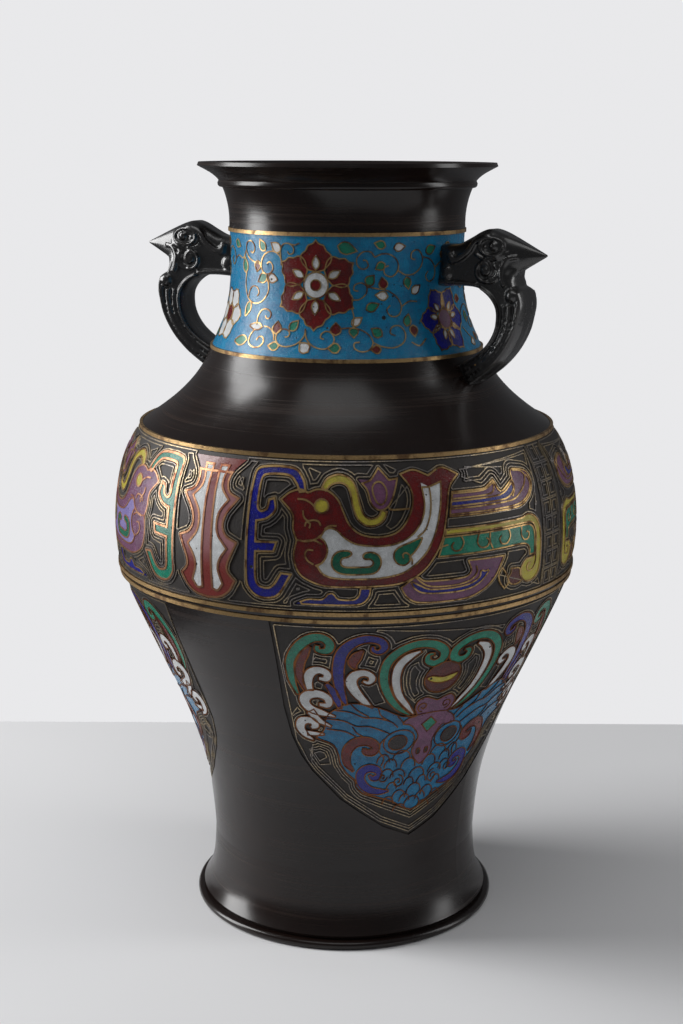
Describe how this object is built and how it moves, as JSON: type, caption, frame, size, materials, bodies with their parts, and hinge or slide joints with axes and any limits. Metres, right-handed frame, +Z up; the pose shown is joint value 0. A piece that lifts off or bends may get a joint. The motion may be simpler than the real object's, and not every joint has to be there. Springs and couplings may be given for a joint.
{
  "type": "cloisonne vase",
  "caption": "Baluster bronze vase with flared mouth, bird-head handles, and enamel birds, flowers and shield-shaped lappets set in key-fret cells.",
  "frame": {"origin": "centre of the foot's resting face", "axes": "+Z up along the vase's axis; -Y faces the middle of the belly's front motif; +X towards the right handle"},
  "size_m": [0.188, 0.188, 0.305],
  "materials": {
    "bronze": "dark brown patinated bronze, satin, with fine turning lines",
    "handle_bronze": "black-brown patinated cast bronze, glossy on the raised edges",
    "peg_bronze": "hammered bronze rivet",
    "gilt_wire": "worn gilt brass wire",
    "fretted_bronze": "blackened key fret with brass-bright ridges",
    "white_enamel": "opaque white enamel, pitted gloss",
    "red_enamel": "opaque oxblood enamel, pitted gloss",
    "yellow_enamel": "opaque yellow enamel, pitted gloss",
    "mauve_enamel": "opaque mauve enamel, pitted gloss",
    "green_enamel": "opaque green enamel, pitted gloss",
    "cobalt_enamel": "opaque cobalt enamel, pitted gloss",
    "azure_enamel": "opaque turquoise enamel, pitted gloss",
    "lappet_enamel": "opaque enamels in cells, azure, red, cobalt, green and white, pitted gloss"
  },
  "bodies": {
    "root": {"lower_body": "bronze", "base_plate": "bronze", "belly": "bronze", "shoulder": "bronze", "neck": "bronze", "mouth_rim": "bronze", "neck_upper_border": "gilt_wire", "neck_lower_border": "gilt_wire", "belly_upper_border": "gilt_wire", "belly_lower_border": "gilt_wire", "lappet_upper_border": "gilt_wire", "belly_fret_band": "fretted_bronze", "lappet_frame_1": "fretted_bronze", "lappet_frame_2": "fretted_bronze", "lappet_frame_3": "fretted_bronze", "lappet_panel_1": "lappet_enamel", "lappet_panel_2": "lappet_enamel", "lappet_panel_3": "lappet_enamel", "handle_right": "handle_bronze", "handle_left": "handle_bronze", "handle_upper_pegs": "peg_bronze", "handle_lower_pegs": "peg_bronze", "axe_enamels": "white_enamel", "bird_enamels": "red_enamel", "crest_enamels": "yellow_enamel", "tulip_enamels": "mauve_enamel", "upper_feather_enamels": "mauve_enamel", "lower_feather_enamels": "mauve_enamel", "tail_bar_enamels": "green_enamel", "ripple_enamels": "cobalt_enamel", "blue_dragon_enamels": "cobalt_enamel", "green_dragon_enamels": "green_enamel", "neck_flower_petals": "red_enamel", "neck_flower_centres": "white_enamel", "neck_enamel_ground": "azure_enamel"}
  },
  "joints": []
}
